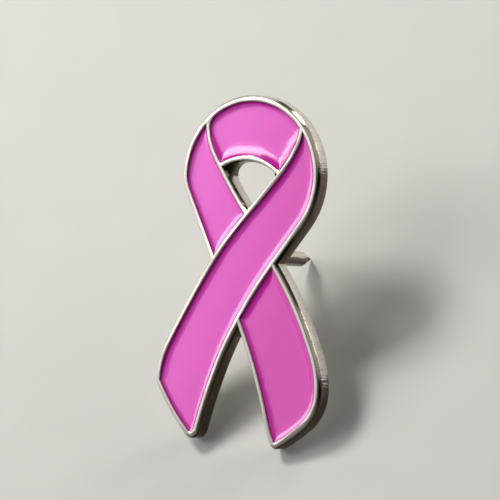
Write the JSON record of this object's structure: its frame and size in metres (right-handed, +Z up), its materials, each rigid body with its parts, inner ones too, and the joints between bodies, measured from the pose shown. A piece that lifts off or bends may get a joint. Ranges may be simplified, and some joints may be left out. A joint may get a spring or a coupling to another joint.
{
  "type": "awareness ribbon pin",
  "caption": "Lapel pin shaped as a crossed awareness ribbon, with raised metal rims round sunk enamel fills and a pointed post on its back.",
  "frame": {"origin": "middle of the footprint, on the surface that the pin lies on", "axes": "+Z up, +Y from the leg tips towards the loop, +X to the right as the ribbon is read; the pin lies face up, leaning back on the point of its post"},
  "size_m": [0.016, 0.0254, 0.0153],
  "materials": {
    "struck_metal": "nickel-plated struck metal, softly polished on the rims, with fine shear ridges on the trimmed wall",
    "pink_enamel": "glossy pink soft enamel, sunk in a shallow dish below the rims"
  },
  "bodies": {
    "root": {"ribbon_body": "struck_metal", "enamel_crown": "pink_enamel", "enamel_left_strand": "pink_enamel", "enamel_front_strand": "pink_enamel", "enamel_right_leg": "pink_enamel"}
  },
  "joints": []
}
